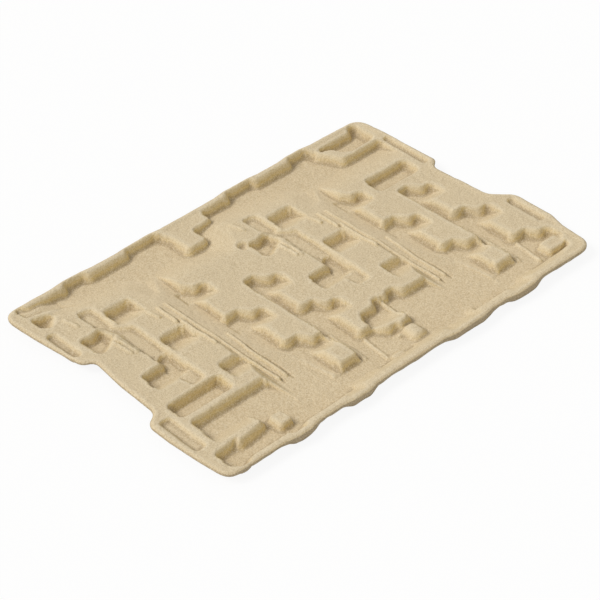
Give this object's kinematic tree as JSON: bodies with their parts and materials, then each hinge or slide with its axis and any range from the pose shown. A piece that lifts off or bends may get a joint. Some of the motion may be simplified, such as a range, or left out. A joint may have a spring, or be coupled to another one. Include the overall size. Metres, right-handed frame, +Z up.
{
  "type": "molded pulp insert",
  "caption": "Rectangular molded pulp tray with a flat flange, end tabs, stepped product pockets, cable channels and ribs, laid in a carton to hold a product and its parts.",
  "frame": {"origin": "centre of the footprint on the table, under the floors of the hollows", "axes": "+X along the length, +Y towards the long side with the wide plateau, +Z up out of the hollows"},
  "size_m": [0.624, 0.4, 0.018],
  "materials": {
    "pulp": "matte"
  },
  "bodies": {
    "root": {"pulp_insert": "pulp"}
  },
  "joints": []
}
